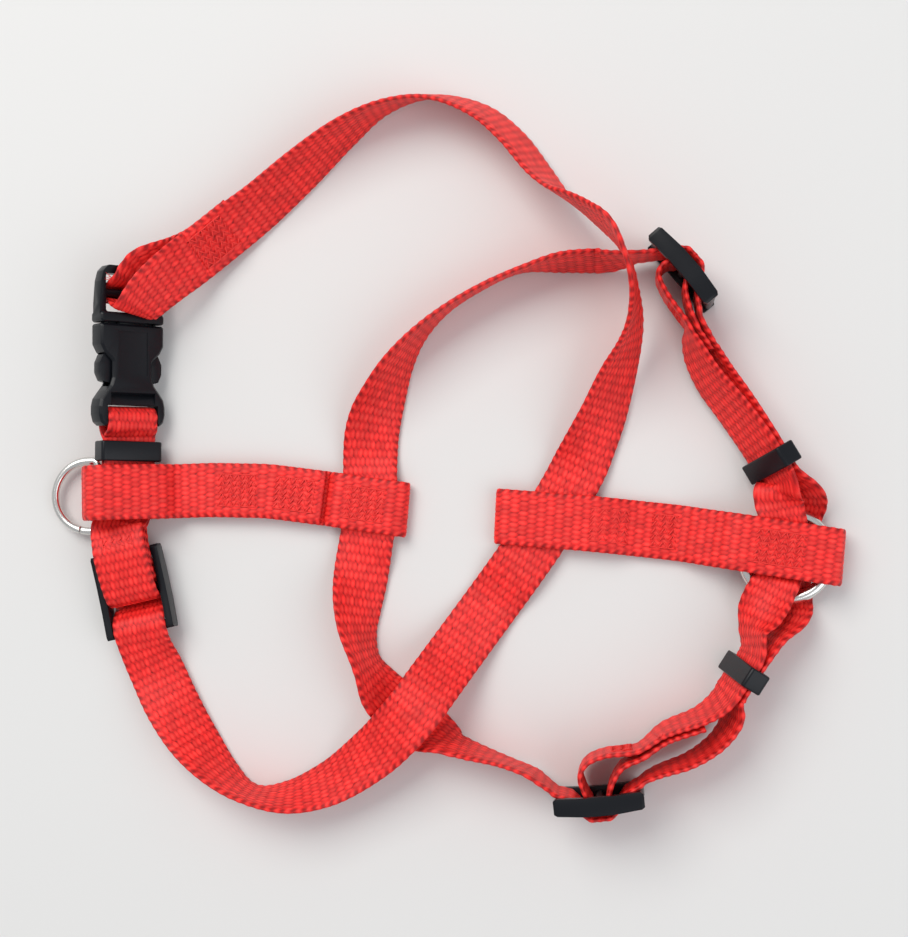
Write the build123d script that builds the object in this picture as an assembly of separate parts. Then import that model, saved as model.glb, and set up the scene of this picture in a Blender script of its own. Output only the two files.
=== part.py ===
from build123d import *
from math import cos, hypot, pi, radians, sin
import os

# No pull dog harness laid out on a table. Millimetres, +Z up, table at Z = 0.
# Routes are written in table coordinates; ORIGIN is the point of the table
# under the middle of the laid out harness, and every piece is moved by it.
ORIGIN = (-4.6, 5.85, 0.0)

# flat nylon webbing, 5/8 inch
WEB_W = 16.0
WEB_T = 1.6
# air between a layer of webbing and what lies on it
GAP = 0.25

# side release buckle
BUCKLE_W = 21.0
BUCKLE_H = 6.4
BUCKLE_ROLL = 48.0
BUCKLE_AT = (-97.3, 42.6, 11.2)
BUCKLE_RISE = 0.035
SOCKET_L = 30.3
PLUG_L = 17.4
PLUG_BAR_AT = 9.2
FRAME_H = 4.0
SLOT_W = 16.8

# adjuster slides
SLIDE_W = 21.0
SLIDE_L = 25.5
SLIDE_BAR = 2.9
SLIDE_H = 5.6
SLIDE_BAR_R = 1.3

# rectangular keepers
KEEPER_W = 19.2
KEEPER_H = 6.6
KEEPER_L = 6.0
KEEPER_WALL = 1.25

# rings
D_WIRE = 2.4
D_BAR_AT = (-108.9, -8.5, 3.3)
D_HALF = 10.7
D_DEPTH = 13.4
O_WIRE = 3.4
O_RADIUS = 12.3
O_AT = (96.9, -25.3, 5.5)

UP = Vector(0, 0, 1)


# ---------------------------------------------------------------- webbing

def unit_steps(points):
    """Unit direction at every point of a path, halfway between its two sides."""
    legs = [(b - a).normalized() for a, b in zip(points, points[1:])]
    inner = [(a + b).normalized() for a, b in zip(legs, legs[1:])]
    return [legs[0], *inner, legs[-1]]


def band(points, across, width=WEB_W, thick=WEB_T):
    """Strip of webbing along a path. across gives the direction of its width."""
    rings = []
    for point, along, side in zip(points, unit_steps(points), across):
        side = (side - along * along.dot(side)).normalized()
        out = along.cross(side).normalized()
        half, deep = side * (width / 2), out * (thick / 2)
        rings.append([point + half + deep, point - half + deep, point - half - deep, point + half - deep])
    faces = [flat(rings[0]), flat(rings[-1][::-1])]
    for a, b in zip(rings, rings[1:]):
        for k in (0, 1):
            faces += [flat([a[k], b[k], b[k + 1]]), flat([a[k], b[k + 1], a[k + 1]])]
        faces += [flat([a[2], b[2], a[3]]), flat([b[2], b[3], a[3]])]
        faces += [flat([a[3], b[3], b[0]]), flat([a[3], b[0], a[0]])]
    return Solid(Shell(faces))


def flat(corners):
    return Face(Wire.make_polygon(corners, close=True))


def resting(roll, width=WEB_W, thick=WEB_T):
    """Height of the middle of a rolled strip whose lower edge just clears the table."""
    turn = radians(roll)
    return width / 2 * abs(sin(turn)) + thick / 2 * abs(cos(turn)) + 0.1


def lie(stations, shift=0.0, width=WEB_W, thick=WEB_T):
    """Strip through stations (x, y, z, roll). The roll lifts the edge on the left
    of the path, in degrees; shift moves a layer off the path along its face."""
    points = [Vector(x, y, max(z, resting(roll, width, thick))) for x, y, z, roll in stations]
    across, moved = [], []
    for point, along, station in zip(points, unit_steps(points), stations):
        left = UP.cross(along).normalized()
        lift = along.cross(left)
        roll = radians(station[3])
        side = left * cos(roll) + lift * sin(roll)
        across.append(side)
        moved.append(point + along.cross(side) * shift)
    return band(moved, across, width, thick)


def middle(line, x):
    """Height of a sagging middle line, given as points (x, y), and its direction at x."""
    for (x0, y0), (x1, y1) in zip(line, line[1:]):
        if x <= x1 or (x1, y1) == line[-1]:
            return y0 + (y1 - y0) * (x - x0) / (x1 - x0), Vector(x1 - x0, y1 - y0, 0).normalized()


def bent(line, path):
    """The path with a point added wherever it passes a corner of the middle line."""
    full = [path[0]]
    for (x0, z0), (x1, z1) in zip(path, path[1:]):
        corners = [x for x, y in line if min(x0, x1) + 0.5 < x < max(x0, x1) - 0.5]
        for x in sorted(corners, reverse=x1 < x0):
            full.append((x, z0 + (z1 - z0) * (x - x0) / (x1 - x0)))
        full.append((x1, z1))
    return full


def connector(line, path):
    """Strap that runs along a middle line; path lists (x, z) from one end to the other."""
    points, across = [], []
    for x, z in bent(line, path):
        y, along = middle(line, x)
        points.append(Vector(x, y, z))
        across.append(UP.cross(along))
    return band(points, across)


def tack(line, x0, x1, z, width=11.0):
    """Patch of stitching on the face of a connector strap."""
    y0, along = middle(line, x0)
    y1, along = middle(line, x1)
    points = [Vector(x0, y0, z), Vector(x1, y1, z)]
    return band(points, [UP.cross(along)] * 2, width, 0.3)


# ---------------------------------------------------------------- frames

def frame_of(at, y_dir, z_dir):
    y_dir, z_dir = Vector(*y_dir).normalized(), Vector(*z_dir).normalized()
    return Plane(origin=at, x_dir=y_dir.cross(z_dir), z_dir=z_dir)


def rolled(at, heading, roll, rise=0.0):
    """Frame whose Y runs along a heading in degrees and whose left side is lifted."""
    along = Vector(cos(radians(heading)), sin(radians(heading)), rise).normalized()
    left = UP.cross(along).normalized()
    side = left * cos(radians(roll)) + along.cross(left) * sin(radians(roll))
    return frame_of(at, along, along.cross(side))


BUCKLE = rolled(BUCKLE_AT, 90, BUCKLE_ROLL, BUCKLE_RISE)
SLIDE_G = frame_of((-96.3, -37.5, 5.3), (-0.225, 0.974, 0), (0, 0, 1))
SLIDE_U = frame_of((67.4, 56.8, 10.7), (0.648, -0.762, 0), (-0.762, -0.648, 0))
SLIDE_L_ = frame_of((43.6, -95.2, 10.7), (0.993, 0.113, 0), (-0.113, 0.993, 0))
KEEPER_G = rolled((-97.5, 4.8, 9.0), 90, 42)
KEEPER_U = rolled((92.3, 1.3, 10.3), -59.5, 58)
KEEPER_L_ = rolled((84.3, -58.4, 10.4), 58, -69)


def placed(shape, frame):
    return frame.location * shape


def outline(points, depth, at_z=0.0):
    """Flat plate of a frame's XY outline, half its depth on either side of at_z."""
    return Pos(0, 0, at_z - depth / 2) * extrude(make_face(Polyline(*points, close=True)), depth)


def mirrored(points):
    """Outline closed by its own reflection in Y."""
    return points + [(-x, y) for x, y in reversed(points)]


# ---------------------------------------------------------------- buckle

def socket():
    """Female half: hollow body with two side windows, a waist and the strap bar."""
    half = BUCKLE_W / 2
    side = [(half, 0), (half, -6.2), (half - 1.2, -8.4), (half - 3.9, -11), (half - 3.9, -16)]
    side += [(half - 3.2, -18.2), (half - 1.6, -20.2), (half, -22.4), (half + 0.5, -24.6), (half + 0.5, -27.0)]
    side += [(half - 0.1, -29.2), (half - 1.4, -SOCKET_L)]
    body = outline(mirrored(side), BUCKLE_H)
    body = fillet(body.edges().filter_by(Axis.Z), 0.9)
    body = chamfer(body.faces().sort_by(Axis.Z)[-1].edges(), 0.7)
    body = chamfer(body.faces().sort_by(Axis.Z)[0].edges(), 0.7)
    walls = outline(mirrored([(half - 0.1, 0), (half - 0.1, -6.4), (half - 1.5, -8.4), (6.0, -10)]), 1)
    cavity = Pos(0, -9.2, 0) * Box(18.0, 18.6, 3.9)
    slot = Pos(0, -25.75, 0) * Box(SLOT_W, 3.3, 20)
    bar_top = Pos(0, -29.4, 3.0) * Box(SLOT_W, 4.2, 3.0)
    bar_low = Pos(0, -29.4, -3.0) * Box(SLOT_W, 4.2, 3.0)
    lip = Pos(0, -22.2, 3.2) * Rot(-24, 0, 0) * Box(SLOT_W - 2, 3.4, 1.6)
    body = body - cavity - slot - bar_top - bar_low - lip
    panel = Pos(0, -8.6, BUCKLE_H / 2) * Box(9.5, 13.0, 0.5)
    return body - panel


def plug():
    """Male half without its arms: strap frame with a middle bar, shoulder and guide."""
    half = BUCKLE_W / 2
    side = [(half, 0.35), (half, 6.0), (half - 0.5, 12.5), (half - 1.3, 15.6), (half - 3.0, PLUG_L)]
    frame = outline(mirrored(side), FRAME_H)
    shoulder = Pos(0, 1.9, 0) * Box(BUCKLE_W, 3.1, BUCKLE_H)
    frame = frame + shoulder
    frame = fillet(frame.edges().filter_by(Axis.Z), 1.0)
    frame = chamfer(frame.faces().sort_by(Axis.Z)[-1].edges(), 0.5)
    frame = chamfer(frame.faces().sort_by(Axis.Z)[0].edges(), 0.5)
    window = Pos(0, 9.2, 0) * fillet(Box(SLOT_W, 11.4, 20).edges().filter_by(Axis.Z), 0.8)
    bar = Pos(0, PLUG_BAR_AT, 0) * Rot(0, 90, 0) * Cylinder(SLIDE_BAR_R, SLOT_W + 1.4)
    guide = Pos(0, -7.3, 0) * Box(2.2, 15.4, 2.9)
    root = Pos(0, -0.2, 0) * Box(16.4, 1.4, 3.3)
    plug_body = frame - window + bar + guide + root
    for x in (-6.0, 6.0):
        plug_body = plug_body - Pos(x, -0.2, 0) * Cylinder(1.65, 6.0)
        plug_body = plug_body - Pos(x, -1.6, 0) * Box(3.9, 2.4, 6.0)
    return plug_body


def arm(side):
    """Springy arm of the plug, with the button that fills the socket's window."""
    root = Cylinder(1.35, 3.1)
    blade = outline([(-1.1, 0), (1.1, 0), (1.7, -8), (1.5, -16.4), (-0.6, -16.4), (-0.4, -8)], 3.1)
    button = outline([(1.2, -8.0), (3.2, -9.0), (4.3, -11.4), (4.3, -14.4), (3.2, -16.8), (1.0, -17.4), (0.6, -12)], 3.5)
    button = fillet(button.edges().filter_by(Axis.Z), 0.4)
    whole = Pos(6.0, -0.2, 0) * (root + blade + button)
    return whole if side > 0 else whole.mirror(Plane.YZ)


# ---------------------------------------------------------------- slides and keepers

def slide():
    """Adjuster: two bowed side rails joined by two end bars and a centre bar."""
    half, end, low = SLIDE_W / 2, SLIDE_L / 2, SLIDE_H / 2
    bow = [(4, -low), (end - 0.9, 0.8 - low), (end, 1.4 - low), (end, low - 0.6), (end - 0.9, low + 0.1), (4, low - 0.4)]
    bow += [(-y, z) for y, z in reversed(bow)]
    rail = extrude(Plane.YZ * make_face(Polyline(*bow, close=True)), half - SLOT_W / 2)
    rails = Pos(SLOT_W / 2, 0, 0) * rail + Pos(-half, 0, 0) * rail
    bars = [Pos(0, y, 0) * Box(SLOT_W + 2, SLIDE_BAR, 2.8) for y in (end - SLIDE_BAR / 2, SLIDE_BAR / 2 - end)]
    bars = [fillet(bar.edges().filter_by(Axis.X), 1.0) for bar in bars]
    centre = Rot(0, 90, 0) * Cylinder(SLIDE_BAR_R, SLOT_W + 2)
    return rails + bars[0] + bars[1] + centre


def keeper():
    """Rectangular loop that holds two layers of webbing together."""
    body = Box(KEEPER_W, KEEPER_L, KEEPER_H)
    body = fillet(body.edges().filter_by(Axis.Y), 1.1)
    body = chamfer(body.faces().sort_by(Axis.Y)[0].edges(), 0.3)
    body = chamfer(body.faces().sort_by(Axis.Y)[-1].edges(), 0.3)
    return body - Box(KEEPER_W - 2.6, KEEPER_L + 1, KEEPER_H - 2 * KEEPER_WALL)


# ---------------------------------------------------------------- rings

def d_ring():
    """Bent wire: straight bar on the hinge line, two short arms and the bow."""
    h, d, r = D_HALF, D_DEPTH, 1.7
    k = r * (1 - cos(pi / 4))
    path = Wire([
        Edge.make_line((0, -h + r), (0, h - r)),
        Edge.make_three_point_arc((0, h - r), (-k, h - k), (-r, h)),
        Edge.make_line((-r, h), (h - d, h)),
        Edge.make_three_point_arc((h - d, h), (-d, 0), (h - d, -h)),
        Edge.make_line((h - d, -h), (-r, -h)),
        Edge.make_three_point_arc((-r, -h), (-k, -h + k), (0, -h + r)),
    ])
    section = Plane(origin=(0, 0, 0), z_dir=(0, 1, 0)) * Circle(D_WIRE / 2)
    return Pos(*D_BAR_AT) * sweep(section, path=path)


def o_ring():
    return Pos(*O_AT) * Torus(O_RADIUS, O_WIRE / 2)


# ---------------------------------------------------------------- straps at a slide

# where the webbing enters and leaves each slide, in the slide's own Y and Z
UNDER_BAR = [(-7.6, 1.4), (-5.0, -2.2), (-3.0, -4.2), (3.0, -4.2), (5.0, -2.2), (7.6, 1.4)]
ROUND_BAR = [(2.7, 0.5), (2.1, -1.4), (0.9, -2.35), (-0.9, -2.35), (-2.1, -1.4), (-2.7, 0.5)]
G_IN, G_OUT = [(-15.8, 1.2), (-12.4, 2.5), (-9.9, 2.5)], [(9.9, 2.45), (12.8, 2.45)]
U_IN, U_OUT = [(-10.2, 5.4), (-9.0, 3.6)], [(9.6, 2.8), (12.0, 4.4)]
L_IN, L_OUT = [(-14.2, 5.4), (-12.0, 3.3), (-9.9, 2.5)], [(9.6, 2.7), (12.4, 4.0)]
G_SHORT = [(17.4, 3.3), (13.2, 4.4), (8.4, 4.25), (4.4, 2.6)]
G_LONG = [(-1.5, 3.0), (3.0, 5.0), (9.0, 6.15), (13.2, 6.3), (17.6, 5.1), (20.4, 3.9)]
U_SHORT, U_LONG = [(11.6, 6.9), (7.0, 4.9), (3.9, 2.6)], [(-4.2, 3.2), (-3.4, 6.4), (2.0, 8.4), (12.0, 9.4)]
L_SHORT = [(13.0, 11.2), (7.6, 9.2), (4.6, 5.6), (3.3, 2.8)]
L_LONG = [(-3.9, 3.6), (-4.6, 7.6), (-2.6, 11.0), (3.0, 13.0), (12.4, 13.4)]


def in_slide(frame, path):
    """Webbing across a slide, drawn in the slide's YZ plane."""
    points = [frame.from_local_coords(Vector(0, y, z)) for y, z in path]
    return band(points, [frame.x_dir] * len(points))


def weave(frame, entry, leave):
    return in_slide(frame, entry + UNDER_BAR + leave)


def wrap(frame, short, long):
    return in_slide(frame, short + ROUND_BAR + long)


def local_station(frame, y, z, roll):
    at = frame.from_local_coords(Vector(0, y, z))
    return (at.X, at.Y, at.Z, roll)


# ---------------------------------------------------------------- girth strap

def plug_station(x, y, z, skew):
    """Point in the buckle's frame, with the strap's width turned in the buckle's plane."""
    turn = radians(skew)
    side = BUCKLE.x_dir * cos(turn) - BUCKLE.y_dir * sin(turn)
    return BUCKLE.from_local_coords(Vector(x, y, z)), side


def girth_plug_loop():
    """End of the girth strap: over the plug's far bar, round its middle bar and back on top."""
    lain = Vector(0.50, -0.67, -0.54)
    under = [(Vector(-77.2, 66.4, 4.6), lain), (Vector(-84.0, 63.2, 6.4), Vector(0.58, -0.52, -0.62))]
    under += [plug_station(4.4, 17.2, 3.7, 20), plug_station(1.9, 14.8, 3.3, 14), plug_station(0.7, 12.9, 2.2, 8)]
    turn = [plug_station(0, PLUG_BAR_AT + y, z, 0) for y, z in ROUND_BAR]
    over = [plug_station(-0.4, 5.9, 1.9, 4), plug_station(-0.9, 5.0, 3.5, 10), plug_station(-1.1, 4.8, 4.6, 14)]
    over += [plug_station(-0.6, 5.8, 5.8, 16)]
    over += [(Vector(-88.2, 52.6, 15.0), Vector(0.61, -0.38, -0.69)), (Vector(-82.6, 58.2, 12.6), Vector(0.56, -0.52, -0.65))]
    over += [(Vector(-77.0, 63.8, 8.8), lain), (Vector(-75.8, 65.0, 7.8), lain)]
    return strip(under + turn + over, 12.0)


GIRTH_UPPER = [
    (-72.5, 67.8, 7.2, 34), (-58.0, 79.0, 6.6, 46), (-45.5, 89.5, 7.2, 56),
    (-32.5, 100.0, 8.1, 73), (-20.0, 107.5, 8.3, 93), (-9.5, 109.8, 8.2, 104), (-6.5, 110.0, 8.2, 106),
]
GIRTH_CROSSING = [
    (-5.9, 110.0, 8.2, 106), (-3.0, 109.7, 8.2, 108), (8.0, 105.5, 8.2, 116), (17.5, 97.5, 9.0, 119), (26.0, 86.6, 10.0, 116),
    (32.3, 79.4, 12.0, 103), (37.3, 75.5, 15.5, 92), (43.6, 70.0, 21.0, 86), (48.6, 64.2, 26.5, 88),
    (51.6, 57.0, 26.9, 94), (53.2, 48.2, 20.5, 98), (52.5, 38.5, 13.5, 109), (49.0, 28.0, 8.6, 126),
    (44.5, 15.5, 6.2, 143), (40.0, 5.5, 4.2, 160), (37.6, 0.5, 3.1, 174), (34.7, -5.0, 2.8, 180), (30.6, -12.1, 2.75, 180),
]
GIRTH_LOWER = [
    (30.2, -12.8, 2.75, 180), (25.8, -20.0, 2.75, 180), (18.6, -30.4, 2.75, 180), (11.6, -40.0, 1.2, 180),
    (2.0, -53.4, 4.6, 180), (-6.0, -65.0, 12.8, 181), (-9.5, -70.0, 14.8, 183), (-15.0, -76.3, 14.2, 190),
    (-21.5, -82.7, 11.3, 200), (-36.0, -93.0, 7.4, 223), (-47.5, -97.0, 8.0, 243), (-59.5, -96.6, 8.3, 262),
    (-68.5, -90.5, 8.2, 247), (-77.3, -81.2, 6.6, 223),
]
GIRTH_ENTRY = [(-77.9, -80.4, 6.5, 222), (-84.4, -71.0, 5.0, 205), (-89.6, -61.5, 3.6, 190)]


def girth_entry():
    return lie(GIRTH_ENTRY + [local_station(SLIDE_G, -16.8, 0.8, 180)])


# through leg from slide to socket, round the socket's bar and back to the slide
def girth_buckle_loop():
    """Both legs between the slide and the socket's bar, as one strip."""
    legs = [(-99.6, -13.4, 6.2, 5), (-98.3, -7.0, 7.0, 20), (-97.5, 0.4, 9.0, 42), (-97.5, 9.1, 9.0, 42)]
    down, up = [], []
    for x, y, z, roll in legs:
        side = Vector(-cos(radians(roll)), 0, sin(radians(roll)))
        face = Vector(0, 1, 0).cross(side)
        down.append((Vector(x, y, z) - face * 0.9, side))
        up.append((Vector(x, y, z) + face * 0.9, side))
    across = SLIDE_G.x_dir * -1
    lower = [(13.1, 2.45), (14.2, 2.4), (17.6, 1.2), (20.8, 0.7)]
    upper = [(22.6, 3.2), (20.7, 3.8)]
    lower = [(SLIDE_G.from_local_coords(Vector(0, y, z)), across) for y, z in lower]
    upper = [(SLIDE_G.from_local_coords(Vector(0, y, z)), across) for y, z in upper]
    turn = [(-30.8, -2.7), (-28.8, -2.9), (-26.9, -2.9), (-25.4, -1.7), (-25.1, 0)]
    turn += [(y, -z) for y, z in reversed(turn[:-1])]
    bend = [(BUCKLE.from_local_coords(Vector(0, y, z)), BUCKLE.x_dir * -1) for y, z in turn]
    return strip([*lower, *down, *bend, *reversed(up), *upper])


# ---------------------------------------------------------------- neck strap

NECK_UPPER = [
    (-24.7, -12.6, 2.75, 0), (-24.9, -3.0, 2.75, 0), (-25.0, 4.0, 2.0, 6), (-24.4, 10.0, 2.8, 16), (-22.8, 16.0, 4.2, 30),
    (-20.0, 22.5, 6.2, 48), (-16.0, 30.5, 7.6, 66), (-10.0, 39.0, 8.3, 83), (-2.0, 46.5, 8.3, 93),
    (8.5, 53.0, 8.2, 96), (20.0, 58.0, 8.1, 96), (32.0, 60.0, 7.6, 80), (39.3, 60.25, 8.2, 76), (42.0, 60.3, 8.2, 76),
]
NECK_ENTRY_U = [(42.4, 60.3, 8.2, 76), (44.5, 60.3, 8.2, 76), (52.8, 60.8, 10.7, 88)]
NECK_LOWER = [
    (-24.7, -13.1, 2.75, 0), (-24.8, -16.0, 2.75, 0), (-26.1, -22.5, 2.75, 0), (-27.4, -31.5, 3.0, -14), (-28.0, -40.5, 5.6, -38),
    (-27.5, -48.5, 7.2, -58), (-24.6, -58.0, 7.9, -69), (-20.5, -66.0, 5.7, -43), (-14.6, -72.0, 4.4, -26),
    (-7.0, -77.0, 5.2, -38), (0.6, -80.5, 8.0, -72), (3.4, -81.55, 8.1, -78),
]
NECK_ENTRY_L = [(4.0, -81.77, 8.1, -78), (6.4, -82.6, 8.2, -81), (16.0, -85.4, 9.0, -89), (24.4, -88.3, 10.7, -90)]

# heights and rolls along the two bands between a slide and the front ring
BAND_U_RETURN = [(71.3, 37.8, 10.1, 80), (72.6, 33.4, 9.6, 71), (76.6, 25.6, 8.9, 64), (82.4, 17.2, 9.2, 60), (89.3, 6.4, 10.3, 58),
                 (94.6, -2.65, 10.3, 58), (95.7, -4.5, 10.3, 58)]
BAND_L_RETURN = [(62.6, -76.0, 9.6, -83), (72.2, -72.0, 9.4, -79), (77.4, -68.2, 9.8, -73), (80.4, -64.6, 10.4, -69),
                 (81.1, -63.5, 10.4, -69), (87.5, -53.3, 10.4, -69)]
RETURN_U = [2.1, 2.0, 1.9, 1.4, 0.9, 0.9, 1.3]
THROUGH_U = [-2.1, -2.0, -1.9, -1.4, -0.9, -0.9, -1.6]


def shifted(stations, shifts):
    """Points and widths of a layer lying off a path by its own distance at each station."""
    points = [Vector(x, y, z) for x, y, z, roll in stations]
    layer = []
    for point, along, station, shift in zip(points, unit_steps(points), stations, shifts):
        left = UP.cross(along).normalized()
        roll = radians(station[3])
        side = left * cos(roll) + along.cross(left) * sin(roll)
        layer.append((point + along.cross(side) * shift, side))
    return layer


def strip(path, width=WEB_W, thick=WEB_T):
    return band([at for at, side in path], [side for at, side in path], width, thick)


def neck_upper_through_leg():
    start = [(SLIDE_U.from_local_coords(Vector(0, y, z)), UP) for y, z in [(12.3, 4.6), (13.2, 5.2)]]
    path = start + shifted(BAND_U_RETURN, THROUGH_U)
    path += [(Vector(100.5, -6.9, 7.4), Vector(0.66, 0.2, 0.72)), (Vector(101.5, -9.8, 4.6), Vector(0.92, 0.0, 0.3))]
    path += [(Vector(101.0, -12.6, 2.75), Vector(1, -0.1, 0)), (Vector(100.0, -15.8, 2.7), Vector(1, -0.1, 0))]
    return strip(path, 14.0)


def neck_upper_return_leg():
    start = [(SLIDE_U.from_local_coords(Vector(0, y, z)), UP) for y, z in [(12.3, 9.45), (13.4, 9.6)]]
    path = start + shifted(BAND_U_RETURN, RETURN_U)
    path += [(Vector(94.4, -8.2, 9.9), Vector(0.88, 0.0, 0.32)), (Vector(94.8, -10.9, 8.85), Vector(1, -0.1, 0.03))]
    path += [(Vector(95.6, -14.8, 8.7), Vector(1, -0.1, 0)), (Vector(96.3, -18.0, 7.7), Vector(1, -0.1, 0))]
    path += [(Vector(96.8, -19.2, 6.2), Vector(1, -0.1, 0)), (Vector(96.9, -19.5, 4.6), Vector(1, -0.1, 0))]
    return strip(path, 13.0)


def neck_lower_through_leg():
    start = SLIDE_L_.from_local_coords(Vector(0, 13.3, 4.7))
    run = [(60.8, -86.8, 10.2, -87), (69.6, -83.4, 9.9, -83), (77.4, -77.6, 9.8, -78), (81.4, -70.8, 10.0, -72)]
    path = [(start, UP * -1)] + shifted(run, [0, 0, 0, 0])
    path += shifted(BAND_L_RETURN[2:], [-2.6, -1.4, -0.9, -0.9])[1:]
    path += [(Vector(92.6, -48.0, 8.8), Vector(-0.45, 0.1, -0.89)), (Vector(96.6, -43.2, 6.2), Vector(-0.75, 0.2, -0.6))]
    path += [(Vector(97.8, -38.8, 2.75), Vector(-1, 0.1, 0)), (Vector(97.4, -34.2, 2.65), Vector(-1, 0.05, 0))]
    return strip(path, 13.0)


def neck_lower_return_leg():
    start = SLIDE_L_.from_local_coords(Vector(0, 13.6, 13.6))
    path = [(start, UP * -1)] + shifted(BAND_L_RETURN, [1.0, 1.0, 0.9, 0.9, 0.9, 0.9])
    path += [(Vector(87.2, -46.4, 10.2), Vector(-0.45, 0.08, -0.89)), (Vector(89.2, -41.2, 9.8), Vector(-0.86, 0.15, -0.45))]
    path += [(Vector(92.0, -36.0, 8.65), Vector(-1, 0.15, 0)), (Vector(93.6, -33.0, 8.35), Vector(-1, 0.1, 0))]
    path += [(Vector(94.4, -31.2, 7.2), Vector(-1, 0.1, 0)), (Vector(94.7, -30.6, 5.6), Vector(-1, 0.1, 0))]
    path += [(Vector(94.8, -30.5, 4.2), Vector(-1, 0.1, 0))]
    return strip(path, 13.0)


def neck_upper_sewn_end():
    """End of the neck strap past the slide, sewn along the inside of the return leg."""
    start = [(SLIDE_U.from_local_coords(Vector(0, y, z)), UP) for y, z in [(12.3, 7.05), (13.4, 7.4)]]
    return strip(start + shifted(BAND_U_RETURN, [0.0] * 7)[:2], 14.0, 1.2)


def neck_lower_sewn_end():
    start = SLIDE_L_.from_local_coords(Vector(0, 14.25, 11.65))
    return strip([(start, UP * -1)] + shifted(BAND_L_RETURN, [-0.9] * 6)[:2])


# ---------------------------------------------------------------- connector straps

BACK_LINE = [(-113.0, -8.0), (-72.0, -6.6), (-55.0, -7.0), (-36.0, -9.4), (-13.0, -12.6)]
BACK_PATH = [
    (-38.9, 4.35), (-83.0, 4.35), (-86.6, 8.2), (-90.0, 10.8), (-103.2, 17.0), (-106.6, 16.8),
    (-109.8, 12.6), (-111.2, 4.8), (-111.1, 2.4), (-110.0, 1.0), (-108.6, 0.85), (-86.0, 0.85), (-82.6, 2.6), (-79.9, 2.6),
]
BACK_MIDDLE = [(-79.5, 2.6), (-39.4, 2.6)]
BACK_RIGHT = [
    (-39.0, 2.6), (-38.0, 2.6), (-35.6, 4.8), (-16.6, 4.8), (-14.6, 4.0), (-14.0, 2.8),
    (-14.6, 1.6), (-16.6, 0.85), (-74.0, 0.85),
]
CHEST_LINE = [(12.0, -14.1), (42.0, -16.4), (66.0, -18.9), (90.0, -22.4), (113.0, -25.8)]
CHEST_LEFT = [
    (56.0, 0.85), (15.2, 0.85), (13.7, 1.5), (13.3, 2.8), (13.7, 4.1), (15.2, 4.75), (46.0, 4.75), (53.0, 2.7), (56.0, 2.6),
]
CHEST_MIDDLE = [(56.7, 2.6), (67.0, 2.6), (76.0, 7.0), (80.6, 9.6)]
CHEST_RIGHT = [
    (81.2, 9.9), (84.0, 10.4), (108.4, 10.4), (111.4, 9.0), (112.3, 5.6), (111.4, 2.2), (108.4, 0.85), (56.7, 0.85),
]


def tacks_back():
    places = [(-81.2, -77.4, 5.35), (-70.6, -59.0, 5.35), (-52.8, -40.0, 5.35), (-31.0, -19.2, 5.75)]
    return [tack(BACK_LINE, x0, x1, z) for x0, x1, z in places]


def tacks_chest():
    return [tack(CHEST_LINE, 57.0, 66.0, 3.6), tack(CHEST_LINE, 87.0, 97.0, 11.4)]


def tack_at_slide(frame, long):
    """Stitching where a sewn end lies under the long leg beside its slide."""
    (y0, z0), (y1, z1) = long[-2:]
    run = hypot(y1 - y0, z1 - z0)
    lift = 1.0
    out = (-(z1 - z0) / run * lift, (y1 - y0) / run * lift)
    ends = [(y0 + (y1 - y0) * t + out[0], z0 + (z1 - z0) * t + out[1]) for t in (0.25, 0.85)]
    points = [frame.from_local_coords(Vector(0, y, z)) for y, z in ends]
    return band(points, [frame.x_dir] * 2, 11.0, 0.3)


# ---------------------------------------------------------------- assembly

def straps():
    made = {
        "girth_plug_loop": girth_plug_loop(),
        "girth_upper_run": lie(GIRTH_UPPER),
        "girth_crossing_run": lie(GIRTH_CROSSING),
        "girth_lower_run": lie(GIRTH_LOWER),
        "girth_slide_entry": girth_entry(),
        "girth_slide_weave": weave(SLIDE_G, G_IN, G_OUT),
        "girth_slide_wrap": wrap(SLIDE_G, G_SHORT, G_LONG),
        "girth_buckle_loop": girth_buckle_loop(),
        "neck_upper_run": lie(NECK_UPPER),
        "neck_upper_entry": lie(NECK_ENTRY_U + [local_station(SLIDE_U, -10.4, 5.7, 90)]),
        "neck_upper_weave": weave(SLIDE_U, U_IN, U_OUT),
        "neck_upper_wrap": wrap(SLIDE_U, U_SHORT, U_LONG),
        "neck_upper_through_leg": neck_upper_through_leg(),
        "neck_upper_return_leg": neck_upper_return_leg(),
        "neck_upper_sewn_end": neck_upper_sewn_end(),
        "neck_lower_run": lie(NECK_LOWER),
        "neck_lower_entry": lie(NECK_ENTRY_L + [local_station(SLIDE_L_, -14.4, 5.6, -90)]),
        "neck_lower_weave": weave(SLIDE_L_, L_IN, L_OUT),
        "neck_lower_wrap": wrap(SLIDE_L_, L_SHORT, L_LONG),
        "neck_lower_through_leg": neck_lower_through_leg(),
        "neck_lower_return_leg": neck_lower_return_leg(),
        "neck_lower_sewn_end": neck_lower_sewn_end(),
        "back_strap_left_loop": connector(BACK_LINE, BACK_PATH),
        "back_strap_middle": connector(BACK_LINE, BACK_MIDDLE),
        "back_strap_right_loop": connector(BACK_LINE, BACK_RIGHT),
        "chest_strap_left_loop": connector(CHEST_LINE, CHEST_LEFT),
        "chest_strap_middle": connector(CHEST_LINE, CHEST_MIDDLE),
        "chest_strap_right_loop": connector(CHEST_LINE, CHEST_RIGHT),
    }
    made["back_strap_stitching"] = Compound(tacks_back())
    made["chest_strap_stitching"] = Compound(tacks_chest())
    made["girth_slide_stitching"] = tack_at_slide(SLIDE_G, G_LONG[:-1])
    made["neck_upper_stitching"] = tack_at_slide(SLIDE_U, U_LONG)
    made["neck_lower_stitching"] = tack_at_slide(SLIDE_L_, L_LONG)
    return made


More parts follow.
